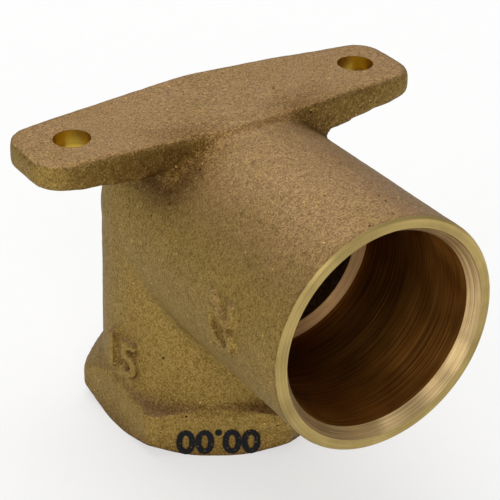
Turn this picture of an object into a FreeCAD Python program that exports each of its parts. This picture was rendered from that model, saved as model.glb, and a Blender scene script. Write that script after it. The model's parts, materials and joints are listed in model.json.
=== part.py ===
import FreeCAD, Part
import math
import os

from FreeCAD import Vector

# Wall plate elbow, cast in one piece: a solder cup for copper tube, a female pipe
# thread in a hexagon collar, and a two-hole plate that screws to the wall.
# Millimetres and degrees. The thread axis is Z and its mouth is at the origin, facing
# down. The cup opens towards -Y, and the plate lies across X on top of the elbow.

# Solder cup
tube_r = 11.11
tube_clearance = 0.09
cup_depth = 19.05
stop_from_axis = 14.05
stop_width = 1.8
cup_wall = 2.08
rim_chamfer = 0.2
lead_in_width = 0.9
lead_in_depth = 1.4

# Casting
cup_draft_deg = 0.7
barrel_draft_deg = 0.9
barrel_step = 0.1
throat_round = 2.5

# Hexagon collar round the thread
collar_h = 6.65
wrench_gap = 5.38
flat_stand_out = 0.53
corner_trim = 0.3
foot_inset = 0.05
foot_chamfer_h = 1.3
shoulder_deg = 51.0
shoulder_round = 2.5
ledge_h = 6.15
ledge_deg = 22.0

# Pipe thread, bored to the crests of its ridges
thread_minor_r = 9.25
thread_depth = 14.0
thread_mouth_chamfer = 0.45
port_step = 0.35

# Wall plate
screw_spacing = 36.4
screw_hole_r = 2.05
plate_shift = 0.6
plate_end_margin = 5.55
plate_end_half_w = 5.1
plate_mid_swell = 2.3
plate_mid_round = 20.0
plate_corner_round = 3.7
plate_proud = 0.15
plate_tip_t = 2.65
plate_thicken = 2.1
plate_top_round = 0.5
plate_root_round = 0.8

# Worked out from the sizes above
cup_bore_r = tube_r + tube_clearance
cup_reach = stop_from_axis + cup_depth
mouth_r = cup_bore_r + cup_wall
heel_r = mouth_r - cup_reach * math.tan(math.radians(cup_draft_deg))
cup_axis_z = collar_h + wrench_gap + mouth_r
barrel_top_r = heel_r - barrel_step
neck_r = barrel_top_r + (cup_axis_z - collar_h) * math.tan(math.radians(barrel_draft_deg))
flat_r = neck_r + flat_stand_out
corner_r = flat_r / math.cos(math.radians(30)) - corner_trim
waterway_r = cup_bore_r - stop_width
plate_top_z = cup_axis_z + heel_r + plate_proud
plate_half_len = screw_spacing / 2 + plate_end_margin
plate_mid_half_w = plate_end_half_w + plate_mid_swell

# Points closer than this to a face count as lying on it
touch = 1e-3
# Cutters run this far past the face that they open
overrun = 1.0

down = Vector(0, 0, -1)
forward = Vector(0, -1, 0)
heel = Vector(0, 0, cup_axis_z)


def lies_on(edge, solid):
    """Whether the middle of an edge lies on a solid's skin."""
    middle = edge.valueAt(0.5 * (edge.FirstParameter + edge.LastParameter))
    return solid.Shells[0].distToShape(Part.Vertex(middle))[0] < touch


def seam(shape, first, second):
    """The edges of a fused shape along which two of its solids meet."""
    edges = [edge for edge in shape.Edges if not edge.Degenerated]
    return [edge for edge in edges if lies_on(edge, first) and lies_on(edge, second)]


def blend(first, second, radius):
    """Fuse two solids and round the inside corner all along their seam."""
    joined = first.fuse(second).removeSplitter()
    return joined.makeFillet(radius, seam(joined, first, second))


def edges_through(shape, points):
    """The edges of a shape that pass through the given points."""
    probes = [Part.Vertex(point) for point in points]
    return [
        edge for edge in shape.Edges
        if not edge.Degenerated and any(edge.distToShape(p)[0] < touch for p in probes)
    ]


def rounded_corner(before, corner, after, radius):
    """The arc that rounds a corner between the two points next to it."""
    back = (before - corner).normalize()
    ahead = (after - corner).normalize()
    half = back.getAngle(ahead) / 2
    inward = (back + ahead).normalize()
    reach = radius / math.tan(half)
    deepest = corner + inward * (radius / math.sin(half) - radius)
    return Part.Arc(corner + back * reach, deepest, corner + ahead * reach)


def turned(profile, rounds=None):
    """Turn a closed outline of (radius, height) points about the thread axis.

    The corners numbered in rounds are rounded by the radius given there.
    """
    points = [Vector(r, 0, z) for r, z in profile]
    rounds = rounds or {}
    arcs = {
        k: rounded_corner(points[k - 1], points[k], points[k + 1], radius)
        for k, radius in rounds.items()
    }
    edges = []
    for k, point in enumerate(points):
        following = (k + 1) % len(points)
        start = arcs[k].EndPoint if k in arcs else point
        end = arcs[following].StartPoint if following in arcs else points[following]
        edges.append(Part.makeLine(start, end))
    edges += [arc.toShape() for arc in arcs.values()]
    face = Part.Face(Part.Wire(Part.__sortEdges__(edges)))
    return face.revolve(Vector(0, 0, 0), Vector(0, 0, 1), 360)


def hexagon_bar():
    """A hexagon bar as tall as the barrel, with two of its flats facing +X and -X."""
    across = flat_r / math.cos(math.radians(30))
    angles = [math.radians(30 + 60 * k) for k in range(6)]
    points = [Vector(across * math.cos(a), across * math.sin(a), 0) for a in angles]
    return Part.Face(Part.makePolygon(points + points[:1])).extrude(heel)


def collar_outline(top_z, slope_deg):
    """The collar's outline from the thread axis up to the barrel, which it meets at a slope."""
    corner_z = top_z - (corner_r - neck_r) * math.tan(math.radians(slope_deg))
    return [(0, 0), (flat_r - foot_inset, 0), (corner_r, foot_chamfer_h), (corner_r, corner_z), (neck_r, top_z)]


def barrel():
    """The upright arm on its hexagon collar, whose front half has a higher and flatter ledge."""
    arm = turned(
        collar_outline(collar_h, shoulder_deg) + [(barrel_top_r, cup_axis_z), (0, cup_axis_z)],
        {3: shoulder_round},
    )
    ledge = turned(collar_outline(ledge_h, ledge_deg) + [(0, ledge_h)])
    front = Part.makeBox(2 * corner_r, corner_r, collar_h, Vector(-corner_r, -corner_r, 0))
    return arm.fuse(ledge.common(front)).removeSplitter().common(hexagon_bar())


def cup_arm():
    """The level arm with its drafted outside, and the round heel that it ends in."""
    arm = Part.makeCone(heel_r, mouth_r, cup_reach, heel, forward)
    rim = [edge for edge in arm.Edges if abs(edge.CenterOfMass.y + cup_reach) < touch]
    arm = arm.makeChamfer(rim_chamfer, rim)
    return arm.fuse(Part.makeSphere(heel_r, heel)).removeSplitter()


def plate_corners():
    """The corners of the plate's long six-sided outline, in the plane of its top."""
    half = [(plate_half_len, -plate_end_half_w), (plate_half_len, plate_end_half_w), (0, plate_mid_half_w)]
    corners = half + [(-x, -y) for x, y in half]
    return [Vector(x, y - plate_shift, plate_top_z) for x, y in corners]


def plate_block():
    """The plate's outline as a tall block, its long sides softly bent in the middle."""
    points = plate_corners()
    drop = down * (plate_top_z - cup_axis_z)
    block = Part.Face(Part.makePolygon(points + points[:1])).extrude(drop)
    bends = [point + drop / 2 for point in points if point.x == 0]
    return block.makeFillet(plate_mid_round, edges_through(block, bends))


def plate_side_view():
    """The plate seen from the cup's mouth: flat on top, ears that thin towards their tips."""
    front_y = -plate_mid_half_w - plate_shift
    tip_z = plate_top_z - plate_tip_t
    points = [
        Vector(-plate_half_len, front_y, plate_top_z),
        Vector(-plate_half_len, front_y, tip_z),
        Vector(0, front_y, tip_z - plate_thicken),
        Vector(plate_half_len, front_y, tip_z),
        Vector(plate_half_len, front_y, plate_top_z),
    ]
    width = Vector(0, 2 * plate_mid_half_w, 0)
    return Part.Face(Part.makePolygon(points + points[:1])).extrude(width)


def wall_plate():
    """The two-eared plate, rounded at its corners and along the top of its long sides."""
    block = plate_block()
    ends = [point for point in plate_corners() if point.x != 0]
    uprights = edges_through(block, [point + down for point in ends])
    top = max(block.Faces, key=lambda face: face.CenterOfMass.z)
    long_sides = [edge for edge in top.Edges if abs(edge.CenterOfMass.x) < plate_half_len - touch]
    eased = block.makeFillet(plate_top_round, long_sides)
    rounded = block.makeFillet(plate_corner_round, uprights)
    return rounded.common(eased).common(plate_side_view()).removeSplitter()


def waterway():
    """The cored passage from the tube stop round the corner to the thread."""
    level = Part.makeCylinder(waterway_r, stop_from_axis + overrun, heel, forward)
    upright = Part.makeCylinder(thread_minor_r - port_step, cup_axis_z, heel, down)
    return level.fuse([Part.makeSphere(waterway_r, heel), upright])


def cup_bore():
    """The bored socket for the tube, with the lead-in turned at its mouth."""
    stop = heel + forward * stop_from_axis
    bore = Part.makeCylinder(cup_bore_r, cup_depth + overrun, stop, forward)
    lead_in = Part.makeCone(
        cup_bore_r, cup_bore_r + lead_in_width, lead_in_depth,
        heel + forward * (cup_reach - lead_in_depth), forward,
    )
    return bore.fuse(lead_in)


def thread_bore():
    """The hole that the pipe thread is cut in, countersunk at its mouth."""
    return turned([
        (0, -overrun),
        (thread_minor_r + thread_mouth_chamfer, -overrun),
        (thread_minor_r + thread_mouth_chamfer, 0),
        (thread_minor_r, thread_mouth_chamfer),
        (thread_minor_r, thread_depth),
        (0, thread_depth),
    ])


def screw_holes():
    """The two drilled holes for the wall screws."""
    start_z = plate_top_z + overrun
    length = plate_tip_t + plate_thicken + 2 * overrun
    places = [Vector(side * screw_spacing / 2, -plate_shift, start_z) for side in (-1, 1)]
    return [Part.makeCylinder(screw_hole_r, length, place, down) for place in places]


def elbow_casting():
    """The whole fitting: the rough casting first, then the bores that are cut into it."""
    elbow = blend(barrel(), cup_arm(), throat_round)
    casting = blend(elbow, wall_plate(), plate_root_round)
    return casting.cut([waterway(), cup_bore(), thread_bore()] + screw_holes())


os.makedirs("parts", exist_ok=True)
elbow_casting().exportStep("parts/elbow_casting.step")
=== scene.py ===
import json
import math

import bmesh
import bpy
from bpy.props import (
    FloatProperty, FloatVectorProperty, IntProperty, PointerProperty, StringProperty,
)
from mathutils import Matrix, Vector, noise


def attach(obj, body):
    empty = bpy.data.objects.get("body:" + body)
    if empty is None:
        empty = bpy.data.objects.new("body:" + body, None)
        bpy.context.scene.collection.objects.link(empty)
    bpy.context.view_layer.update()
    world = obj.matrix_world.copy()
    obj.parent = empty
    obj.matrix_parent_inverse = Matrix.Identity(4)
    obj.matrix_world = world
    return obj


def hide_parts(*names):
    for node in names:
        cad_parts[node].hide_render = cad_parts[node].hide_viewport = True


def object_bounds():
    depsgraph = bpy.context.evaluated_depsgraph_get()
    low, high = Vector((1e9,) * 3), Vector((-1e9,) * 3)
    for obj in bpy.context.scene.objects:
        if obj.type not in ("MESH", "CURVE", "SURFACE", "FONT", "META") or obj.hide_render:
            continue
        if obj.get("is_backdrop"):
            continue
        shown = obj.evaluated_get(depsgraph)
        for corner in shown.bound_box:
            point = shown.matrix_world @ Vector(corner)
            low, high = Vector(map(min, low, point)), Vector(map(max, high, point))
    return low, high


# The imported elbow, in metres: thread axis on Z with its mouth at the origin, the cup open
# towards -Y and the plate across X on top.
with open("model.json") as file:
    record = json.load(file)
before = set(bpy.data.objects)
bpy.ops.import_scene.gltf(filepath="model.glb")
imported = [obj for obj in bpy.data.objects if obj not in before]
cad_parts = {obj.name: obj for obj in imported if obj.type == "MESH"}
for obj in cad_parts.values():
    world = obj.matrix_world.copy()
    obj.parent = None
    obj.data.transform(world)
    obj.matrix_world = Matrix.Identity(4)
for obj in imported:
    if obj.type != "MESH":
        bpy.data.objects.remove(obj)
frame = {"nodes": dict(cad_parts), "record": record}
cad_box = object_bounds()

bl_info = {
    "name": "Wall plate elbow",
    "version": (1, 0, 0),
    "blender": (4, 5, 0),
    "location": "View3D > Sidebar > Elbow",
    "description": "Casts, machines and lights a bronze wall plate elbow on its packed frame",
    "category": "Object",
}

MM = 0.001
NODE = "elbow_casting"
BODY = "root"

mounts = {mount["name"]: mount for mount in frame["record"]["mounts"]}
cup = mounts["solder_cup"]
port = mounts["threaded_port"]
screws = mounts["screw_holes"]
HEEL = Vector((0, 0, cup["pos_m"][2]))
MOUTH_Y = cad_box[0][1]
PLATE_TIP = cad_box[1][0]
PLATE_TOP = cad_box[1][2]
# From the cup's axis to the plate's top, which lies about flush with the cup's skin
PLATE_RISE = PLATE_TOP - HEEL.z

# Points closer than this are one point
TOUCH = 0.001 * MM
# Share of the way to its neighbours that a point moves in a round of smoothing
SMOOTHING = 0.5
# Height of a digit as a share of its font's size
DIGIT_SHARE = 0.7
# Cutting tools run this far past the face that they open
TOOL_OVERRUN = 5 * MM
# Facing tools reach this far past the bore
FACING_REACH = 8 * MM
# The tool that chamfers the rim runs this far out past the skin
CHAMFER_REACH = 1.3 * MM
# Steps in one turn of the thread's groove
THREAD_STEPS = 72
# Point attribute that holds how much brown the cast skin gets: scale round the mouth, painted shade along the
# plate's front edge, and both at the plate's root and on the collar's ledge
SCALE_AND_SHADE_NOTE = "scale_and_painted_shade"
# Sockets of a Mix node that work on colours
MIX_SHARE, MIX_BASE, MIX_COAT, MIX_RESULT = 0, 6, 7, 2


def linear(hex_colour):
    """An sRGB hex colour as linear red, green and blue."""
    channels = [int(hex_colour[k:k + 2], 16) / 255 for k in (0, 2, 4)]
    return tuple(c / 12.92 if c <= 0.04045 else ((c + 0.055) / 1.055) ** 2.4 for c in channels)


def size(name, description, default):
    """A length that the sidebar can change."""
    return FloatProperty(name=name, description=description, default=default, unit="LENGTH", precision=5)


def angle(name, description, degrees):
    """An angle that the sidebar can change."""
    return FloatProperty(
        name=name, description=description, default=math.radians(degrees), subtype="ANGLE")


def point(name, description, default):
    """A place that the sidebar can change."""
    return FloatVectorProperty(
        name=name, description=description, default=default, subtype="TRANSLATION", unit="LENGTH")


def rounds(name, description, default):
    """A number of rounds of smoothing that the sidebar can change."""
    return IntProperty(name=name, description=description, default=default, min=0)


def share(name, description, default):
    """A share of a whole that the sidebar can change."""
    return FloatProperty(name=name, description=description, default=default, min=0, max=1, subtype="FACTOR")


def power(name, description, default):
    """A lamp's power that the sidebar can change."""
    return FloatProperty(name=name, description=description, default=default, unit="POWER")


def colour(name, description, hex_colour):
    """A colour that the sidebar can change."""
    return FloatVectorProperty(
        name=name, description=description, default=linear(hex_colour), subtype="COLOR", min=0, max=1)


class ElbowCasting(bpy.types.PropertyGroup):
    """The rough casting, as it leaves the sand."""

    skin_mesh: size("Skin mesh", "Edge length of the faces of the cast skin", 0.29 * MM)
    softening: rounds("Softening", "Rounds of smoothing that soften all cast edges", 2)
    root_softening: rounds("Root softening", "Rounds that fill the corner between plate and cup", 60)
    tip_softening: rounds("Tip softening", "Rounds that wear the edges of both ears", 12)
    right_softening: rounds("Right tip softening", "Further rounds for the right ear, the more worn one", 36)
    regain: size("Regain", "What the skin gains again after the smoothing", 0.05 * MM)
    tip_regain: size("Tip regain", "What the ears' tips gain beyond that", 0.075 * MM)
    coarse_relief: size("Coarse relief", "Height of the broad unevenness of the skin", 0.027 * MM)
    coarse_width: size("Coarse width", "Width of the broad unevenness of the skin", 2.6 * MM)
    fine_relief: size("Fine relief", "Height of the sand's own bumps", 0.0225 * MM)
    fine_width: size("Fine width", "Width of the sand's own bumps", 0.8 * MM)
    root_reach: size("Root reach", "How far the filled corner between plate and cup runs out", 3.2 * MM)
    root_full: size("Root full", "Where the filled corner starts to thin out on the right", 4.0 * MM)
    root_end: size("Root end", "Where the filled corner ends on the right", 7.0 * MM)
    root_fill: FloatProperty(
        name="Root fill", description="Weight of the smoothing in the corner, before it is held at one",
        default=1.5)
    tip_start: share("Tip start", "Share of the way to an ear's tip at which its wear begins", 0.5)
    tip_full: share("Tip full", "Share of the way to an ear's tip at which its wear is full", 0.7)
    plate_front: size("Plate front", "From the thread axis to the plate's front edge in its middle", 8.0 * MM)
    plate_taper: FloatProperty(
        name="Plate taper", description="Loss of the plate's half width for each unit of length",
        default=0.097)
    plate_bow: size("Plate bow", "How far the plate's tips hang below its middle", 0.36 * MM)
    plate_lift: size("Plate lift", "How far the plate's middle stands up", 0.126 * MM)
    plate_drift: size("Plate drift", "How far the plate's ears lie off the middle", -0.32 * MM)
    bow_edge: size("Bow edge", "Width of the strip in front of the plate that bends with it", 0.6 * MM)
    bow_low: share("Bow low", "Share of the way up to the plate's top at which its bend begins", 1 / 2)
    bow_high: share("Bow high", "Share of the way up to the plate's top at which its bend is full", 5 / 6)
    neck_r: size("Neck radius", "Radius of the barrel where it meets the collar", 13.07 * MM)
    ledge_z: size("Ledge height", "Height of the collar's front ledge", 6.15 * MM)
    stock: size("Stock", "Extra length at the two ends that are faced off", 1.5 * MM)
    # Painted light: the pinkish cast that warm light from above gives the skin that faces up
    tan: colour("Tan", "Skin that faces up, with a pinkish cast", "a38460")
    olive: colour("Olive", "Skin on the flanks, more golden", "a58a49")
    # The bright grains are the skin's own tone; in its few specks this colour is a painted glint
    grain_and_glint: colour("Glint", "Bright grains in the skin", "cba867")
    # Besides the scale in the grain, this brown is painted shade in corners, creases and pores
    brown: colour("Brown", "Scale in the skin's grain and corners", "5e3b14")
    low_sheen: colour("Low sheen", "What the rough skin reflects at a low angle", "b5c5dd")


class ElbowScaleAndShade(bpy.types.PropertyGroup):
    """The brown on the cast skin: scale round the mouth, painted shade along the plate's front edge, and both
    at the plate's root and on the collar's ledge.
    """

    root_reach: size("Root reach", "How far it spreads from the plate's root", 5.0 * MM)
    root_clear: size("Root clear", "Half width of the clean strip in the middle of the root", 1.5 * MM)
    root_low: share("Root low", "Share of the way up to the plate's top at which it begins", 0.38)
    root_high: share("Root high", "Share of the way up to the plate's top at which it is full", 0.58)
    edge_line: size("Edge line", "Half width of its line along the plate's front edge", 0.4 * MM)
    edge_cover: share("Edge cover", "How thickly it lies along the plate's front edge", 0.72)
    edge_low: share("Edge low", "Share of the way up to the plate's top at which that line begins", 0.6)
    edge_high: share("Edge high", "Share of the way up to the plate's top at which that line is full", 0.7)
    ledge_line: size("Ledge line", "Half width of its line along the collar's front ledge", 0.24 * MM)
    ledge_fade: size("Ledge fade", "How far that line fades out", 0.8 * MM)
    ledge_start: size("Ledge start", "How far in front of the thread axis that line begins", 5.0 * MM)
    ledge_full: size("Ledge full", "How far in front of the thread axis that line is full", 7.0 * MM)
    mouth_line: size("Mouth line", "Width of its line round the cup's mouth", 0.35 * MM)
    line_cover: share("Line cover", "How thickly it lies on the ledge and round the mouth", 0.6)


class ElbowNumerals(bpy.types.PropertyGroup):
    """Raised size numerals on the casting."""

    port_size: StringProperty(name="Port size", description="Numeral above the collar", default="15")
    port_r: size("Port numeral radius", "From the thread axis to the numeral's middle", 13.03 * MM)
    port_turn: angle("Port numeral turn", "Where the numeral stands round the thread axis", 185)
    port_at: size("Port numeral height", "From the collar's end face to the numeral's middle", 9.8 * MM)
    cup_size: StringProperty(name="Cup size", description="Numeral on the cup's flank", default="22")
    cup_r: size("Cup numeral radius", "From the cup's axis to the numeral's middle", 13.14 * MM)
    cup_turn: angle("Cup numeral turn", "Where the numeral stands round the cup's axis", 180)
    cup_at: size("Cup numeral place", "From the thread axis to the numeral's middle", 22.5 * MM)
    height: size("Height", "Height of a numeral", 4.4 * MM)
    rise: size("Rise", "Half the thickness of a numeral, the half that stands out of the skin", 0.7 * MM)
    weight: size("Weight", "What is added to each side of a stroke", 0.15 * MM)


class ElbowMachining(bpy.types.PropertyGroup):
    """The bores and faces that are cut into the casting."""

    cup_r: size("Cup radius", "Radius of the solder cup", cup["dims"]["r_mm"] * MM)
    cup_depth: size("Cup depth", "From the mouth to the tube stop", 19.05 * MM)
    cup_wall: size("Cup wall", "Thickness of the cup's wall at the mouth", 2.08 * MM)
    lead_in_w: size("Lead-in width", "Width of the turned lead-in at the mouth", 0.9 * MM)
    lead_in_d: size("Lead-in depth", "Depth of the turned lead-in at the mouth", 1.4 * MM)
    rim_chamfer: size("Rim chamfer", "Edge broken outside the mouth", 0.2 * MM)
    waterway_r: size("Waterway radius", "Radius of the cored way behind the stop", 9.4 * MM)
    port_r: size("Port radius", "Radius of the thread's crests", port["dims"]["r_mm"] * MM)
    port_depth: size("Port depth", "Length of the threaded bore", 14.0 * MM)
    port_way_r: size("Port way radius", "Radius of the way behind the thread", 8.9 * MM)
    countersink: size("Countersink", "Width and depth of the bevel that leads into the thread", 1.5 * MM)
    screw_r: size("Screw hole radius", "Radius of the two wall screw holes", screws["dims"]["hole_r_mm"] * MM)
    drill_depth: size("Drill depth", "How far the drills go down from the plate's top", 7.0 * MM)
    sharp: angle("Sharp edges", "Edges that bend more than this stay sharp", 25)
    bronze: colour("Bronze", "Faced bronze, a little dull", "bba366")
    # Painted light: a lighter copy of the turned bronze for the lead-in, for the bright floor that it shows
    lead_in_light: colour("Fresh bronze", "Bronze at the last cut, the lead-in", "e4c38c")
    # Painted light: a paler copy of the turned bronze, so that the tube stop reads lit deep in the cup
    stop: colour("Stop", "Bronze of the tube stop, pale and matt", "f8ce94")
    # Painted shade, with some tarnish: a darker, browner copy of the turned bronze for the cup's bore
    bore: colour("Bore", "Bored bronze, stained brown", "b67c38")
    # Painted shade: the bore grows darker towards the stop
    depths: colour("Depths", "What the bore's colour is dimmed by towards the stop", "86898b")
    gold: colour("Gold", "Drilled bronze, seen in its own reflection", "c8a642")


class ElbowThread(bpy.types.PropertyGroup):
    """The tapered pipe thread, fourteen turns to the inch."""

    pitch: size("Pitch", "From one ridge to the next", 1.814 * MM)
    root_r: size("Root radius", "Radius of the groove's bottom at the mouth", 10.62 * MM)
    profile_r: size("Profile", "Radius of the circle round the groove's V", 0.97 * MM)
    taper: FloatProperty(name="Taper", description="Loss of radius for each unit of depth", default=1 / 32)
    length: size("Length", "Threaded length from the mouth", 12.4 * MM)


class ElbowInk(bpy.types.PropertyGroup):
    """The printed number on the collar's front flat."""

    text: StringProperty(name="Text", description="Plain number", default="00.00")
    flat_r: size("Flat radius", "From the thread axis to the middle of the ink", 13.69 * MM)
    facing: angle("Facing", "Where the flat stands round the thread axis", 240)
    foot: size("Foot", "From the collar's end face to the middle of the number", 2.1 * MM)
    height: size("Height", "Height of a printed digit", 3.0 * MM)
    weight: size("Weight", "What is added to each side of a stroke", 0.13 * MM)
    lift: size("Lift", "Half the thickness of the ink", 0.04 * MM)
    ink: colour("Ink", "Printing ink", "14161a")


class ElbowStage(bpy.types.PropertyGroup):
    """Floor, light and camera."""

    camera_at: point("Camera", "Place of the camera", (-0.107998, -0.174856, 0.137959))
    camera_turn: FloatVectorProperty(
        name="Camera turn", description="Direction of the camera", subtype="EULER",
        default=(math.radians(59.9478), math.radians(-0.6248), math.radians(-32.4415)))
    lens: FloatProperty(name="Lens", description="Focal length", default=149.447, unit="CAMERA")
    floor: colour("Floor", "Pale floor", "fbfbfa")
    floor_reach: size("Floor reach", "From the middle of the floor to its sides", 6.0)
    floor_gap: size("Floor gap", "What keeps the floor clear of the collar's end face", 0.02 * MM)
    wash: share("Wash", "Share of white light that the floor gives by itself", 0.6)
    sky: FloatProperty(name="Sky", description="Strength of the even light from all round", default=0.4)
    aim: point("Aim", "Where the softboxes point", (0, 0, 0.02))
    key: power("Key", "Power of the softbox overhead", 5.0)
    key_at: point("Key place", "Place of the softbox overhead", (0.12, 0.28, 0.78))
    key_width: size("Key width", "Width of the softbox overhead", 0.9)
    side: power("Side", "Power of the softbox at the side", 1.2)
    side_at: point("Side place", "Place of the softbox at the side", (-0.85, -0.25, 0.35))
    side_width: size("Side width", "Width of the softbox at the side", 0.5)
    front: power("Front", "Power of the softbox in front", 1.5)
    front_at: point("Front place", "Place of the softbox in front", (-0.35, -0.85, 0.6))
    front_width: size("Front width", "Width of the softbox in front", 0.4)


def show(name, data):
    """A new object for a mesh, a text, a lamp or a camera, in the scene."""
    obj = bpy.data.objects.new(name, data)
    bpy.context.scene.collection.objects.link(obj)
    return obj


def baked(obj, name):
    """A plain mesh object of what an object shows with its modifiers; the object is removed."""
    graph = bpy.context.evaluated_depsgraph_get()
    mesh = bpy.data.meshes.new_from_object(
        obj.evaluated_get(graph), preserve_all_data_layers=True, depsgraph=graph)
    bpy.data.objects.remove(obj)
    mesh.name = name
    return show(name, mesh)


def from_bmesh(name, bm):
    """An object with the mesh of a bmesh, which is freed."""
    mesh = bpy.data.meshes.new(name)
    bm.to_mesh(mesh)
    bm.free()
    return show(name, mesh)


def merged(obj):
    """The object with its doubled points made one and its faces turned outwards."""
    bm = bmesh.new()
    bm.from_mesh(obj.data)
    bmesh.ops.remove_doubles(bm, verts=bm.verts, dist=TOUCH)
    bmesh.ops.recalc_face_normals(bm, faces=bm.faces)
    bm.to_mesh(obj.data)
    bm.free()
    return obj


def plug(tree, node, inputs):
    """Give a node its inputs, each a value or a link from another node's socket."""
    for key, value in inputs.items():
        if isinstance(value, bpy.types.NodeSocket):
            tree.links.new(value, node.inputs[key])
        else:
            node.inputs[key].default_value = value


def add(tree, kind, inputs=None, **settings):
    """A node with its settings, and with its inputs plugged in."""
    node = tree.nodes.new(kind)
    for key, value in settings.items():
        setattr(node, key, value)
    plug(tree, node, inputs or {})
    return node


def per(width):
    """The scale at which a noise pattern's features are about this wide."""
    return 1 / width


def new_material(name):
    """An empty material: its tree, its surface shader and its object coordinates."""
    material = bpy.data.materials.new(name)
    material.use_nodes = True
    tree = material.node_tree
    shader = tree.nodes["Principled BSDF"]
    coords = add(tree, "ShaderNodeTexCoord").outputs["Object"]
    return material, tree, shader, coords


def rgba(rgb):
    """A colour with full cover."""
    return (rgb[0], rgb[1], rgb[2], 1)


def shade(rgb, factor):
    """A colour made darker or lighter by a factor."""
    return [min(1, factor * c) for c in rgb]


def coat(tree, base, layer, pattern, low, high, at_low=0, at_high=1, blend="MIX"):
    """Lay a colour over a base, as thickly as a pattern says while its value goes from low to high."""
    cover = add(tree, "ShaderNodeMapRange", {
        "Value": pattern, "From Min": low, "From Max": high, "To Min": at_low, "To Max": at_high})
    mix = add(tree, "ShaderNodeMix", {
        MIX_SHARE: cover.outputs["Result"], MIX_BASE: base, MIX_COAT: rgba(layer)},
        data_type="RGBA", blend_type=blend)
    return mix.outputs[MIX_RESULT]


def spots(tree, cells, channel, rarity, radius):
    """Small round spots in a few of a pattern's cells."""
    chance = add(tree, "ShaderNodeSeparateColor", {"Color": cells.outputs["Color"]})
    few = add(tree, "ShaderNodeMapRange", {
        "Value": chance.outputs[channel], "From Min": rarity, "From Max": rarity + 0.01})
    near = add(tree, "ShaderNodeMapRange", {
        "Value": cells.outputs["Distance"], "From Min": 0.6 * radius, "From Max": radius,
        "To Min": 1, "To Max": 0})
    both = add(tree, "ShaderNodeMath", {
        0: near.outputs["Result"], 1: few.outputs["Result"]}, operation="MULTIPLY")
    return both.outputs[0]


def sand_cast_bronze():
    """Bronze as it leaves the sand: dull, grainy and pitted with pores, olive turning tan by painted light
    where it faces up, with brown scale and painted shade in its corners, creases and pores, and painted
    glints as bright specks.
    """
    s = bpy.context.scene.elbow_casting
    material, tree, shader, coords = new_material("sand_cast_bronze")
    patches = add(tree, "ShaderNodeTexNoise", {
        "Vector": coords, "Scale": per(5 * MM), "Detail": 6, "Roughness": 0.7}).outputs["Fac"]
    clumps = add(tree, "ShaderNodeTexNoise", {
        "Vector": coords, "Scale": per(0.6 * MM), "Detail": 3}).outputs["Fac"]
    grain = add(tree, "ShaderNodeTexNoise", {
        "Vector": coords, "Scale": per(0.21 * MM), "Detail": 3, "Roughness": 0.75}).outputs["Fac"]
    pore_cells = add(tree, "ShaderNodeTexVoronoi", {"Vector": coords, "Scale": per(1.1 * MM)})
    pores = spots(tree, pore_cells, "Red", 0.93, 0.16)
    glint_cells = add(tree, "ShaderNodeTexVoronoi", {"Vector": coords, "Scale": per(0.6 * MM)})
    painted_glints = spots(tree, glint_cells, "Green", 0.95, 0.2)
    corners = add(tree, "ShaderNodeAmbientOcclusion", {"Distance": 5 * MM}, samples=12).outputs["AO"]
    surface = add(tree, "ShaderNodeNewGeometry").outputs
    upward = add(tree, "ShaderNodeSeparateXYZ", {"Vector": surface["Normal"]}).outputs["Z"]
    scale_and_shade = add(tree, "ShaderNodeAttribute", attribute_name=SCALE_AND_SHADE_NOTE).outputs["Fac"]

    # Painted light: the skin turns pinkish tan where it faces up, for warm light from above
    skin = coat(tree, rgba(s.olive), s.tan, upward, 0.4, 0.95)
    skin = coat(tree, skin, shade(s.olive, 0.72), patches, 0.42, 0.66, 0, 0.42)
    # Painted shade, with the scale that stays there: brown in corners and under the plate, where ambient
    # occlusion finds the skin hidden
    skin = coat(tree, skin, s.brown, corners, 0.35, 0.92, 0.9, 0)
    # Brown noted on the points: scale round the mouth, painted shade along the plate's front edge, both at
    # the plate's root and on the collar's ledge
    skin = coat(tree, skin, s.brown, scale_and_shade, 0, 1, 0, 0.8)
    # Painted shade, with some dirt: brown in the creases, where pointiness finds the skin hollow
    skin = coat(tree, skin, s.brown, surface["Pointiness"], 0.44, 0.49, 0.5, 0)
    skin = coat(tree, skin, s.brown, clumps, 0.3, 0.5, 0.25, 0)
    skin = coat(tree, skin, s.grain_and_glint, clumps, 0.5, 0.7, 0, 0.22)
    skin = coat(tree, skin, s.brown, grain, 0.34, 0.5, 0.6, 0)
    skin = coat(tree, skin, s.grain_and_glint, grain, 0.5, 0.66, 0, 0.48)
    # Painted shade: the pores are darkened, for the shade inside them
    skin = coat(tree, skin, shade(s.brown, 0.3), pores, 0, 1)
    # Painted glints: a few bright specks, lighter than the skin
    skin = coat(tree, skin, shade(s.grain_and_glint, 1.4), painted_glints, 0, 1)

    rough = add(tree, "ShaderNodeMapRange", {
        "Value": grain, "From Min": 0.35, "From Max": 0.65, "To Min": 0.66, "To Max": 0.5})
    uneven = add(tree, "ShaderNodeMath", {0: grain, 1: clumps}, operation="ADD")
    height = add(tree, "ShaderNodeMath", {0: uneven.outputs[0], 1: pores}, operation="SUBTRACT")
    bump = add(tree, "ShaderNodeBump", {
        "Height": height.outputs[0], "Strength": 0.6, "Distance": 0.14 * MM})
    plug(tree, shader, {
        "Base Color": skin, "Metallic": 1, "Roughness": rough.outputs["Result"],
        "Specular Tint": rgba(s.low_sheen), "Normal": bump.outputs["Normal"]})
    return material


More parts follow.
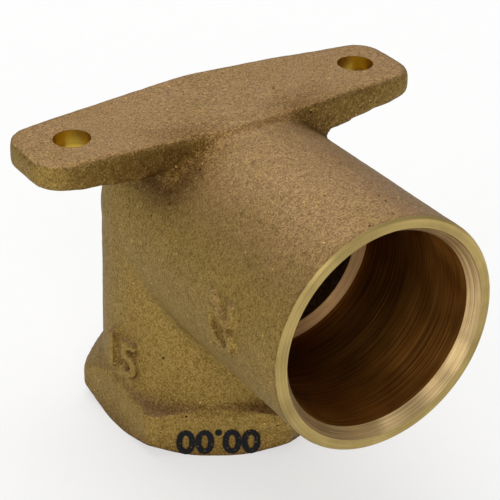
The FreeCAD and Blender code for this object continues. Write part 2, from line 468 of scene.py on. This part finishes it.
def turned_bronze(name, axis, centre, metal, roughness, stretch=0.8, furrow=0.75, deep=None):
    """Bronze cut on a lathe: bright metal with fine uneven lines round the axis of its bore.

    The stretch is that of its reflections, and the furrow says how dark its lines are. Where deep
    is given, the metal is dimmed between those two places along the axis: painted shade, deeper in a bore.
    """
    material, tree, shader, coords = new_material(name)
    across = [float(letter != axis) for letter in "XYZ"]
    ahead = [float(letter == axis) for letter in "XYZ"]
    place = add(tree, "ShaderNodeMapping", {"Vector": coords, "Location": -centre}).outputs["Vector"]
    flat = add(tree, "ShaderNodeVectorMath", {0: place, 1: across}, operation="MULTIPLY").outputs["Vector"]
    radius = add(tree, "ShaderNodeVectorMath", {0: flat}, operation="LENGTH").outputs["Value"]
    depth = add(tree, "ShaderNodeSeparateXYZ", {"Vector": place}).outputs[axis]
    feed = add(tree, "ShaderNodeMath", {0: radius, 1: depth}, operation="SUBTRACT").outputs[0]
    # The real feed lines are finer; these are as fine as the render can show, and fade in and out
    # along their turn
    count = add(tree, "ShaderNodeMath", {0: feed, 1: per(0.2 * MM)}, operation="MULTIPLY").outputs[0]
    cross = add(tree, "ShaderNodeVectorMath", {0: ahead, "Scale": count}, operation="SCALE").outputs["Vector"]
    unit = add(tree, "ShaderNodeVectorMath", {0: flat}, operation="NORMALIZE").outputs["Vector"]
    spun = add(tree, "ShaderNodeVectorMath", {0: unit, 1: cross}, operation="ADD").outputs["Vector"]
    lines = add(tree, "ShaderNodeTexNoise", {
        "Vector": spun, "Scale": 1.0, "Detail": 2, "Roughness": 0.6}).outputs["Fac"]
    stain = add(tree, "ShaderNodeTexNoise", {
        "Vector": place, "Scale": per(4 * MM), "Detail": 3}).outputs["Fac"]

    face = coat(tree, rgba(metal), shade(metal, 0.5), stain, 0.42, 0.75, 0, 0.45)
    face = coat(tree, face, shade(metal, 0.4), lines, 0.32, 0.55, furrow, 0)
    face = coat(tree, face, shade(metal, 1.6), lines, 0.55, 0.7, 0, 0.7 * furrow)
    # Painted shade: the metal is dimmed deeper in along the axis
    if deep:
        dim = bpy.context.scene.elbow_machining.depths
        face = coat(tree, face, dim, depth, deep[0], deep[1], 0, 0.85, blend="MULTIPLY")

    rough = add(tree, "ShaderNodeMapRange", {
        "Value": stain, "From Min": 0.3, "From Max": 0.7,
        "To Min": 0.85 * roughness, "To Max": 1.15 * roughness})
    bump = add(tree, "ShaderNodeBump", {"Height": lines, "Strength": 0.6, "Distance": 0.025 * MM})
    # The lines stretch every reflection across themselves
    around = add(tree, "ShaderNodeVectorMath", {0: flat, 1: ahead}, operation="CROSS_PRODUCT")
    plug(tree, shader, {
        "Base Color": face, "Metallic": 1, "Roughness": rough.outputs["Result"],
        "Anisotropic": stretch, "Anisotropic Rotation": 0.25, "Tangent": around.outputs["Vector"],
        "Normal": bump.outputs["Normal"]})
    return material


def drilled_bronze():
    """The wall of a drilled hole: bright yellow metal with faint drill marks."""
    s = bpy.context.scene.elbow_machining
    material, tree, shader, coords = new_material("drilled_bronze")
    depth = add(tree, "ShaderNodeSeparateXYZ", {"Vector": coords}).outputs["Z"]
    marks = add(tree, "ShaderNodeTexNoise", {
        "W": depth, "Scale": per(0.3 * MM), "Detail": 2}, noise_dimensions="1D").outputs["Fac"]
    wall = coat(tree, rgba(s.gold), shade(s.gold, 0.6), marks, 0.3, 0.7, 0, 0.3)
    rough = add(tree, "ShaderNodeMapRange", {
        "Value": marks, "From Min": 0.3, "From Max": 0.7, "To Min": 0.28, "To Max": 0.4})
    bump = add(tree, "ShaderNodeBump", {"Height": marks, "Strength": 0.4, "Distance": 0.02 * MM})
    plug(tree, shader, {
        "Base Color": wall, "Metallic": 1, "Roughness": rough.outputs["Result"],
        "Normal": bump.outputs["Normal"]})
    return material


def cored_bronze():
    """The cored waterway: rough, dark and unmachined."""
    s = bpy.context.scene.elbow_casting
    material, tree, shader, coords = new_material("cored_bronze")
    grain = add(tree, "ShaderNodeTexNoise", {
        "Vector": coords, "Scale": per(0.7 * MM), "Detail": 5}).outputs["Fac"]
    wall = coat(tree, rgba(s.brown), shade(s.tan, 0.55), grain, 0.35, 0.65)
    bump = add(tree, "ShaderNodeBump", {"Height": grain, "Strength": 0.6, "Distance": 0.2 * MM})
    plug(tree, shader, {
        "Base Color": wall, "Metallic": 1, "Roughness": 0.7, "Normal": bump.outputs["Normal"]})
    return material


def printing_ink():
    """Thin black ink, broken where the rough skin stands through it."""
    ink = bpy.context.scene.elbow_ink.ink
    skin = bpy.context.scene.elbow_casting.olive
    material, tree, shader, coords = new_material("printing_ink")
    breaks = add(tree, "ShaderNodeTexNoise", {
        "Vector": coords, "Scale": per(0.3 * MM), "Detail": 3}).outputs["Fac"]
    print_now = coat(tree, rgba(ink), shade(skin, 0.5), breaks, 0.62, 0.74)
    plug(tree, shader, {"Base Color": print_now, "Roughness": 0.7, "Specular IOR Level": 0.2})
    return material


def pale_card():
    """A sheet of matt card with a faint fibre, washed out to white by a light table below it."""
    s = bpy.context.scene.elbow_stage
    material, tree, shader, coords = new_material("pale_card")
    fibre = add(tree, "ShaderNodeTexNoise", {
        "Vector": coords, "Scale": per(3 * MM), "Detail": 3}).outputs["Fac"]
    card = coat(tree, rgba(s.floor), shade(s.floor, 0.98), fibre, 0.3, 0.7)
    plug(tree, shader, {"Base Color": card, "Roughness": 0.9, "Specular IOR Level": 0.1})
    path = add(tree, "ShaderNodeLightPath").outputs
    seen = path["Is Camera Ray"]
    for ray in ("Is Glossy Ray", "Is Transmission Ray"):
        seen = add(tree, "ShaderNodeMath", {0: seen, 1: path[ray]}, operation="MAXIMUM").outputs[0]
    wash = add(tree, "ShaderNodeMath", {0: seen, 1: s.wash}, operation="MULTIPLY")
    table = add(tree, "ShaderNodeEmission", {"Color": (1, 1, 1, 1), "Strength": 1})
    both = add(tree, "ShaderNodeMixShader", {
        0: wash.outputs[0], 1: shader.outputs[0], 2: table.outputs[0]})
    plug(tree, tree.nodes["Material Output"], {"Surface": both.outputs[0]})
    return material


def screw_places():
    """The middles of the two screw holes, left and right."""
    half = screws["dims"]["spacing_x_mm"] * MM / 2
    return [Vector((x, screws["pos_m"][1], 0)) for x in (-half, half)]


def is_cut(at, normal):
    """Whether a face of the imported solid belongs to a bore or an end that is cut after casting."""
    s = bpy.context.scene.elbow_machining
    edge = 0.05 * MM
    from_cup = math.hypot(at.x, at.z - HEEL.z)
    from_port = math.hypot(at.x, at.y)
    from_screw = min((at.xy - place.xy).length for place in screw_places())
    in_cup = at.y < 0 and from_cup < s.cup_r + s.lead_in_w + edge
    in_port = at.z < HEEL.z and from_port < s.port_r + s.countersink / 2
    in_bend = (at - HEEL).length < s.waterway_r + edge
    in_hole = from_screw < s.screw_r + edge and abs(normal.z) < 0.5
    at_mouth = at.y < MOUTH_Y + s.rim_chamfer and normal.y < -0.3
    at_foot = at.z < edge and normal.z < -0.9
    return in_cup or in_port or in_bend or in_hole or at_mouth or at_foot


def loops(edges):
    """The rings of edges that a set of open edges falls into."""
    left = set(edges)
    while left:
        ring, ends = [], [left.pop()]
        while ends:
            edge = ends.pop()
            ring.append(edge)
            near = {e for v in edge.verts for e in v.link_edges if e in left}
            left -= near
            ends.extend(near)
        yield ring


def casting_blank():
    """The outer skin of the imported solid, with its bores filled and stock left on its two ends."""
    s = bpy.context.scene.elbow_casting
    bm = bmesh.new()
    bm.from_mesh(frame["nodes"][NODE].data)
    bmesh.ops.remove_doubles(bm, verts=bm.verts, dist=TOUCH)
    bm.normal_update()
    cut = [face for face in bm.faces if is_cut(face.calc_center_median(), face.normal)]
    bmesh.ops.delete(bm, geom=cut, context="FACES")
    for ring in list(loops([edge for edge in bm.edges if edge.is_boundary])):
        middle = sum((v.co for edge in ring for v in edge.verts), Vector()) / (2 * len(ring))
        grow = Vector()
        if middle.y < MOUTH_Y + s.stock:
            grow.y = -s.stock
        elif middle.z < s.stock:
            grow.z = -s.stock
        if grow.length:
            grown = bmesh.ops.extrude_edge_only(bm, edges=ring)["geom"]
            ends = [g for g in grown if isinstance(g, bmesh.types.BMVert)]
            bmesh.ops.translate(bm, vec=grow, verts=ends)
            ring = [g for g in grown if isinstance(g, bmesh.types.BMEdge) and g.is_boundary]
        bmesh.ops.contextual_create(bm, geom=ring)
    bmesh.ops.recalc_face_normals(bm, faces=bm.faces)
    return bm


def text_mesh(text, height, weight, depth):
    """A text as a solid, as deep on both sides of its plane, its strokes made heavier, facing +Z."""
    font = bpy.data.curves.new("text", "FONT")
    font.body = text
    font.size = height / DIGIT_SHARE
    font.align_x = "CENTER"
    font.align_y = "CENTER"
    font.extrude = depth
    font.offset = weight
    font.resolution_u = 4
    obj = show("text", font)
    bpy.context.view_layer.update()
    return merged(baked(obj, "text"))


def wrapped(obj, radius, turn, along, place):
    """Bend a text round a cylinder, at a turn about its axis and a height along it."""
    for vertex in obj.data.vertices:
        bearing = turn + vertex.co.x / radius
        reach = radius + vertex.co.z
        bent = (reach * math.cos(bearing), reach * math.sin(bearing), along + vertex.co.y)
        vertex.co = place @ Vector(bent)
    return obj


def ramp(value, none, full):
    """How far a value has come from where there is none of a thing to where it is full."""
    return max(0.0, min(1.0, (value - none) / (full - none)))


def off_front(at):
    """How far a point lies behind the plate's front edge."""
    s = bpy.context.scene.elbow_casting
    return at.y - (s.plate_taper * abs(at.x) - s.plate_front)


def off_root(at):
    """How far a point lies from the corner between the plate's front and the cup."""
    from_cup = abs(math.hypot(at.x, at.z - HEEL.z) - PLATE_RISE)
    return max(from_cup, abs(off_front(at)))


def height_share(at):
    """How high a point lies between the cup's axis and the plate's top."""
    return (at.z - HEEL.z) / PLATE_RISE


def reach_share(at):
    """How far out towards the ears' tips a point lies."""
    return abs(at.x) / PLATE_TIP


def scale_and_shade_above(at):
    """How much brown the skin gets above the cup's axis: scale and painted shade at the plate's root, painted
    shade along its front edge.
    """
    s = bpy.context.scene.elbow_scale
    height = height_share(at)
    # Scale, and painted shade, in the corner under the plate's root
    root = ramp(off_root(at), s.root_reach, 0) * ramp(height, s.root_low, s.root_high)
    root *= ramp(abs(at.x), s.root_clear, s.root_clear + s.root_reach)
    # Painted shade along the plate's front edge, whose face the light from above misses
    edge = s.edge_cover * ramp(abs(off_front(at)), 2 * s.edge_line, s.edge_line)
    edge *= ramp(height, s.edge_low, s.edge_high) * (1 - reach_share(at) ** 4)
    return max(root, edge)


def scale_and_shade_below(at):
    """How much brown the skin gets below the cup's axis: scale and painted shade along the collar's front
    ledge.
    """
    s = bpy.context.scene.elbow_scale
    casting = bpy.context.scene.elbow_casting
    from_ledge = max(abs(math.hypot(at.x, at.y) - casting.neck_r), abs(at.z - casting.ledge_z))
    line = ramp(from_ledge, s.ledge_line + s.ledge_fade, s.ledge_line)
    return s.line_cover * line * ramp(-at.y, s.ledge_start, s.ledge_full)


def keep_scale_and_shade(obj):
    """Note on the skin's points how much brown they get: scale, and painted shade."""
    s = bpy.context.scene.elbow_scale
    scale_and_shade = obj.data.attributes.new(SCALE_AND_SHADE_NOTE, "FLOAT", "POINT")
    for vertex, note in zip(obj.data.vertices, scale_and_shade.data):
        at = vertex.co
        mouth = s.line_cover * ramp(at.y - MOUTH_Y, 2 * s.mouth_line, s.mouth_line)
        note.value = max(mouth, scale_and_shade_above(at) if at.z > HEEL.z else scale_and_shade_below(at))


def near_root(at):
    """How near a point lies to the corner between plate and cup, which is filled but for its right end."""
    s = bpy.context.scene.elbow_casting
    near = s.root_fill * ramp(off_root(at), s.root_reach, 0) * ramp(at.x, s.root_end, s.root_full)
    return near if at.z > HEEL.z else 0.0


def near_tip(at):
    """How near a point lies to the tips of the plate's ears, whose edges are the most worn."""
    s = bpy.context.scene.elbow_casting
    return ramp(reach_share(at), s.tip_start, s.tip_full) if at.z > HEEL.z else 0.0


def near_right_tip(at):
    """How near a point lies to the tip of the right ear."""
    return near_tip(at) if at.x > 0 else 0.0


def soften(obj, weigh, times):
    """The skin, smoothed a number of times as far as a weight is given for its points."""
    group = obj.vertex_groups.new(name="soft")
    for vertex in obj.data.vertices:
        weight = min(1.0, weigh(vertex.co))
        if weight > 0:
            group.add([vertex.index], weight, "REPLACE")
    smooth = obj.modifiers.new("soften", "SMOOTH")
    smooth.vertex_group = group.name
    smooth.factor = SMOOTHING
    smooth.iterations = times
    result = baked(obj, "rough_casting")
    result.vertex_groups.clear()
    return result


def bow_plate(obj):
    """Bend the cast plate a little, as it came out of the sand; it is drilled true later."""
    s = bpy.context.scene.elbow_casting
    for vertex in obj.data.vertices:
        at = vertex.co
        held = ramp(height_share(at), s.bow_low, s.bow_high) * ramp(off_front(at), -s.bow_edge, 0)
        out = min(1, reach_share(at)) ** 2
        at.z += held * (s.plate_lift - s.plate_bow * out)
        at.x += held * s.plate_drift * out


def cast_relief(obj):
    """Bring a smoothed skin back to its size and press the sand's unevenness into it."""
    s = bpy.context.scene.elbow_casting
    normals = [vertex.normal.copy() for vertex in obj.data.vertices]
    for vertex, normal in zip(obj.data.vertices, normals):
        coarse = s.coarse_relief * noise.noise(vertex.co / s.coarse_width)
        fine = s.fine_relief * noise.noise(vertex.co / s.fine_width)
        regain = s.regain + s.tip_regain * near_tip(vertex.co)
        vertex.co += normal * (regain + coarse + fine)


def lathe(name, profile, zones, place, steps=160):
    """A closed solid turned from (radius, height) points, with a material for each step between them."""
    bm = bmesh.new()
    rings = []
    for radius, height in profile:
        turns = [2 * math.pi * k / steps for k in range(steps if radius else 1)]
        rings.append([bm.verts.new((radius * math.cos(t), radius * math.sin(t), height)) for t in turns])
    names = list(dict.fromkeys(zones))
    for low, high, zone in zip(rings, rings[1:], zones):
        for k in range(steps):
            j = (k + 1) % steps
            corners = [low[k % len(low)], low[j % len(low)], high[j % len(high)], high[k % len(high)]]
            face = bm.faces.new(dict.fromkeys(corners))
            face.material_index = names.index(zone)
    bmesh.ops.recalc_face_normals(bm, faces=bm.faces)
    bm.transform(place)
    obj = from_bmesh(name, bm)
    for zone in names:
        obj.data.materials.append(bpy.data.materials[zone])
    return obj


def cut_away(body, tool):
    """The body less the tool, whose faces keep their own materials."""
    modifier = body.modifiers.new("cut", "BOOLEAN")
    modifier.operation = "DIFFERENCE"
    modifier.object = tool
    modifier.solver = "MANIFOLD"
    modifier.material_mode = "TRANSFER"
    result = baked(body, "cut_body")
    bpy.data.objects.remove(tool)
    return result


def cup_axis():
    """The place of a solid that is turned about the cup's axis, with its heights towards the mouth."""
    return Matrix.Translation(HEEL) @ Matrix.Rotation(math.radians(90), 4, "X")


def cup_tool():
    """Everything that is cut from the cup's mouth, and the cored way behind the stop."""
    s = bpy.context.scene.elbow_machining
    reach = -MOUTH_Y
    stop = reach - s.cup_depth
    outer = s.cup_r + FACING_REACH
    rim = s.cup_r + s.cup_wall
    bend_steps = [math.radians(15 * k) for k in range(1, 6)]
    bend = [(s.waterway_r * math.cos(a), -s.waterway_r * math.sin(a)) for a in bend_steps]
    profile = [
        (0, reach + TOOL_OVERRUN),
        (outer, reach + TOOL_OVERRUN),
        (outer, reach + 0.5 * CHAMFER_REACH),
        (rim + CHAMFER_REACH, reach - s.rim_chamfer - CHAMFER_REACH),
        (rim - s.rim_chamfer, reach),
        (s.cup_r + s.lead_in_w, reach),
        (s.cup_r, reach - s.lead_in_d),
        (s.cup_r, stop),
        (s.waterway_r, stop),
        (s.waterway_r, 0),
    ] + bend + [(0, -s.waterway_r)]
    zones = ["turned_bronze_face"] * 5
    # The lead-in and the stop are lighter copies with painted light, the bore a darker one with painted shade
    zones += ["lead_in_bronze_painted_light", "bore_bronze_tarnish_and_shade", "stop_bronze_painted_light"]
    zones += ["cored_bronze"] * (len(bend) + 2)
    return lathe("cup_tool", profile, zones, cup_axis())


def port_tool():
    """The faced end of the collar, the bore of the thread and the way up to the bend."""
    s = bpy.context.scene.elbow_machining
    outer = s.port_r + FACING_REACH
    profile = [
        (0, -TOOL_OVERRUN),
        (outer, -TOOL_OVERRUN),
        (outer, 0),
        (s.port_r + s.countersink, 0),
        (s.port_r, s.countersink),
        (s.port_r, s.port_depth),
        (s.port_way_r, s.port_depth),
        (s.port_way_r, HEEL.z),
        (0, HEEL.z),
    ]
    zones = ["turned_bronze_port"] * 6 + ["cored_bronze"] * 2
    return lathe("port_tool", profile, zones, Matrix.Identity(4))


def drills():
    """The two drills for the wall screws."""
    s = bpy.context.scene.elbow_machining
    top = PLATE_TOP + TOOL_OVERRUN
    bottom = PLATE_TOP - s.drill_depth
    profile = [(0, bottom), (s.screw_r, bottom), (s.screw_r, top), (0, top)]
    zones = ["drilled_bronze"] * 3
    return [lathe("drill", profile, zones, Matrix.Translation(at), steps=64) for at in screw_places()]


def thread_groove_tree():
    """Node tree: a V groove that winds up a cone."""
    tree = bpy.data.node_groups.new("thread_groove", "GeometryNodeTree")
    for name in ("Pitch", "Root radius", "Profile", "Taper", "Length"):
        tree.interface.new_socket(name, in_out="INPUT", socket_type="NodeSocketFloat")
    tree.interface.new_socket("Material", in_out="INPUT", socket_type="NodeSocketMaterial")
    tree.interface.new_socket("Geometry", in_out="OUTPUT", socket_type="NodeSocketGeometry")
    given = add(tree, "NodeGroupInput").outputs
    middle = add(tree, "ShaderNodeMath", {
        0: given["Root radius"], 1: given["Profile"]}, operation="SUBTRACT").outputs[0]
    full = add(tree, "ShaderNodeMath", {0: given["Length"], 1: given["Pitch"]}, operation="ADD").outputs[0]
    turns = add(tree, "ShaderNodeMath", {0: full, 1: given["Pitch"]}, operation="DIVIDE").outputs[0]
    loss = add(tree, "ShaderNodeMath", {0: full, 1: given["Taper"]}, operation="MULTIPLY").outputs[0]
    end = add(tree, "ShaderNodeMath", {0: middle, 1: loss}, operation="SUBTRACT").outputs[0]
    start = add(tree, "ShaderNodeMath", {0: given["Pitch"], 1: -1}, operation="MULTIPLY").outputs[0]
    below = add(tree, "ShaderNodeCombineXYZ", {"Z": start})
    spiral = add(tree, "GeometryNodeCurveSpiral", {
        "Resolution": THREAD_STEPS, "Rotations": turns, "Start Radius": middle, "End Radius": end,
        "Height": full})
    upright = add(tree, "GeometryNodeSetCurveNormal", {"Curve": spiral.outputs[0]}, mode="Z_UP")
    vee = add(tree, "GeometryNodeCurvePrimitiveCircle", {"Resolution": 3, "Radius": given["Profile"]})
    groove = add(tree, "GeometryNodeCurveToMesh", {
        "Curve": upright.outputs[0], "Profile Curve": vee.outputs[0], "Fill Caps": True})
    placed = add(tree, "GeometryNodeTransform", {
        "Geometry": groove.outputs[0], "Translation": below.outputs[0]})
    real = add(tree, "GeometryNodeRealizeInstances", {"Geometry": placed.outputs[0]})
    coated = add(tree, "GeometryNodeSetMaterial", {
        "Geometry": real.outputs[0], "Material": given["Material"]})
    add(tree, "NodeGroupOutput", {"Geometry": coated.outputs[0]})
    return tree


def thread_tool():
    """The groove of the pipe thread as a solid."""
    s = bpy.context.scene.elbow_thread
    tree = thread_groove_tree()
    obj = show("thread_tool", bpy.data.meshes.new("thread_tool"))
    modifier = obj.modifiers.new("thread_groove", "NODES")
    modifier.node_group = tree
    given = {
        "Pitch": s.pitch, "Root radius": s.root_r, "Profile": s.profile_r, "Taper": s.taper,
        "Length": s.length, "Material": bpy.data.materials["turned_bronze_port"],
    }
    for item in tree.interface.items_tree:
        if item.in_out == "INPUT":
            modifier[item.identifier] = given[item.name]
    return merged(baked(obj, "thread_tool"))


class ELBOW_OT_casting(bpy.types.Operator):
    """Cast the elbow: its outer skin with raised numerals, soft edges and the sand's imprint"""

    bl_idname = "elbow.casting"
    bl_label = "Rough casting"

    def execute(self, context):
        s = context.scene.elbow_casting
        n = context.scene.elbow_numerals
        bm = casting_blank()
        marks = [
            (n.port_size, n.port_r, n.port_turn, n.port_at, Matrix.Identity(4)),
            (n.cup_size, n.cup_r, n.cup_turn, n.cup_at, cup_axis()),
        ]
        for text, radius, turn, along, place in marks:
            mark = wrapped(text_mesh(text, n.height, n.weight, n.rise), radius, turn, along, place)
            bm.from_mesh(mark.data)
            bpy.data.objects.remove(mark)
        blank = from_bmesh("blank", bm)
        remesh = blank.modifiers.new("skin", "REMESH")
        remesh.mode = "VOXEL"
        remesh.voxel_size = s.skin_mesh
        smooth = blank.modifiers.new("soften", "SMOOTH")
        smooth.factor = SMOOTHING
        smooth.iterations = s.softening
        casting = soften(baked(blank, "skin"), near_root, s.root_softening)
        casting = soften(casting, near_tip, s.tip_softening)
        casting = soften(casting, near_right_tip, s.right_softening)
        keep_scale_and_shade(casting)
        bow_plate(casting)
        cast_relief(casting)
        casting.data.materials.clear()
        casting.data.materials.append(sand_cast_bronze())
        return {"FINISHED"}


class ELBOW_OT_machining(bpy.types.Operator):
    """Cut the cup, the waterway, the threaded port and the screw holes into the casting"""

    bl_idname = "elbow.machining"
    bl_label = "Machined bores"

    def execute(self, context):
        s = context.scene.elbow_machining
        turned_bronze("turned_bronze_face", "Y", HEEL, s.bronze, 0.5, stretch=0.3, furrow=0.3)
        # Painted light: the lead-in is a lighter copy of the turned bronze
        turned_bronze("lead_in_bronze_painted_light", "Y", HEEL, s.lead_in_light, 0.34)
        # Painted light: the tube stop is a paler copy of the turned bronze
        turned_bronze("stop_bronze_painted_light", "Y", HEEL, s.stop, 0.62, furrow=0.4)
        # Painted shade: where the bore darkens, from a fifth of the way in to near the stop
        deep = (MOUTH_Y + 0.2 * s.cup_depth, MOUTH_Y + 0.9 * s.cup_depth)
        # Painted shade, with some tarnish: the cup's bore is a darker, browner copy of the turned bronze
        bore_bronze = turned_bronze("bore_bronze_tarnish_and_shade", "Y", HEEL, s.bore, 0.46, furrow=0.95, deep=deep)
        # The bore's brown, partly tarnish and partly painted shade, also dulls the reflections at a low angle
        bore_bronze.node_tree.nodes["Principled BSDF"].inputs["Specular Tint"].default_value = rgba(s.bore)
        turned_bronze("turned_bronze_port", "Z", Vector(), s.bronze, 0.38)
        drilled_bronze()
        cored_bronze()
        body = bpy.data.objects["rough_casting"]
        for tool in [cup_tool(), port_tool(), thread_tool()] + drills():
            body = cut_away(body, tool)
        body.name = "cast_elbow"
        body.data.name = "cast_elbow"
        body.data.shade_smooth()
        body.data.set_sharp_from_angle(angle=s.sharp)
        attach(body, BODY)
        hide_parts(NODE)
        return {"FINISHED"}


class ELBOW_OT_ink(bpy.types.Operator):
    """Print the plain number on the collar's front flat"""

    bl_idname = "elbow.ink"
    bl_label = "Printed number"

    def execute(self, context):
        s = context.scene.elbow_ink
        out = Vector((math.cos(s.facing), math.sin(s.facing), 0))
        up = Vector((0, 0, -1))
        right = up.cross(out)
        upside_down = Matrix((right, up, out)).transposed().to_4x4()
        place = Matrix.Translation(out * s.flat_r + Vector((0, 0, s.foot))) @ upside_down
        mark = text_mesh(s.text, s.height, s.weight, s.lift)
        mark.data.transform(place)
        mark.name = "printed_number"
        mark.data.materials.clear()
        mark.data.materials.append(printing_ink())
        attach(mark, BODY)
        return {"FINISHED"}


class ELBOW_OT_stage(bpy.types.Operator):
    """Set up the floor, the light and the camera"""

    bl_idname = "elbow.stage"
    bl_label = "Floor, light and camera"

    def execute(self, context):
        s = context.scene.elbow_stage
        bm = bmesh.new()
        bmesh.ops.create_grid(bm, x_segments=1, y_segments=1, size=s.floor_reach)
        floor = from_bmesh("floor", bm)
        floor.data.transform(Matrix.Translation((0, 0, cad_box[0][2] - s.floor_gap)))
        floor.data.materials.append(pale_card())
        floor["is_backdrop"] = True

        world = bpy.data.worlds.new("soft_room")
        world.use_nodes = True
        room = world.node_tree
        plug(room, room.nodes["Background"], {"Color": (1, 1, 1, 1), "Strength": s.sky})
        context.scene.world = world

        self.softbox("key_softbox", s.key_at, s.key_width, s.key, s.aim)
        self.softbox("side_softbox", s.side_at, s.side_width, s.side, s.aim)
        self.softbox("front_softbox", s.front_at, s.front_width, s.front, s.aim)

        lens = bpy.data.cameras.new("camera")
        lens.lens = s.lens
        camera = show("camera", lens)
        camera.location = s.camera_at
        camera.rotation_euler = s.camera_turn
        context.scene.camera = camera
        context.scene.view_settings.view_transform = "Standard"
        return {"FINISHED"}

    def softbox(self, name, at, width, watts, aim):
        """A square soft light that points at the object."""
        lamp = bpy.data.lights.new(name, "AREA")
        lamp.size = width
        lamp.energy = watts
        obj = show(name, lamp)
        obj.location = at
        obj.rotation_euler = (aim - at).to_track_quat("-Z", "Y").to_euler()


class ELBOW_PT_panel(bpy.types.Panel):
    """The elbow's pieces, in the order in which they are made"""

    bl_idname = "ELBOW_PT_panel"
    bl_label = "Wall plate elbow"
    bl_space_type = "VIEW_3D"
    bl_region_type = "UI"
    bl_category = "Elbow"

    def draw(self, context):
        for step, groups in STEPS:
            self.layout.operator(step.bl_idname)
            for name in groups:
                group = getattr(context.scene, name)
                for prop in group.__annotations__:
                    self.layout.prop(group, prop)


GROUPS = {
    "elbow_casting": ElbowCasting,
    "elbow_scale": ElbowScaleAndShade,
    "elbow_numerals": ElbowNumerals,
    "elbow_machining": ElbowMachining,
    "elbow_thread": ElbowThread,
    "elbow_ink": ElbowInk,
    "elbow_stage": ElbowStage,
}
STEPS = (
    (ELBOW_OT_casting, ("elbow_casting", "elbow_scale", "elbow_numerals")),
    (ELBOW_OT_machining, ("elbow_machining", "elbow_thread")),
    (ELBOW_OT_ink, ("elbow_ink",)),
    (ELBOW_OT_stage, ("elbow_stage",)),
)
CLASSES = tuple(GROUPS.values()) + tuple(step for step, groups in STEPS) + (ELBOW_PT_panel,)


def register():
    for cls in CLASSES:
        bpy.utils.register_class(cls)
    for name, group in GROUPS.items():
        setattr(bpy.types.Scene, name, PointerProperty(type=group))


def unregister():
    for name in GROUPS:
        delattr(bpy.types.Scene, name)
    for cls in reversed(CLASSES):
        bpy.utils.unregister_class(cls)


def main():
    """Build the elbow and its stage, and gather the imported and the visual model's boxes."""
    register()
    bpy.ops.elbow.casting()
    bpy.ops.elbow.machining()
    bpy.ops.elbow.ink()
    bpy.ops.elbow.stage()
    boxes = {"cad": cad_box, "visual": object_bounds()}
    {name: [list(corner) for corner in box] for name, box in boxes.items()}


if __name__ == "__main__":
    main()
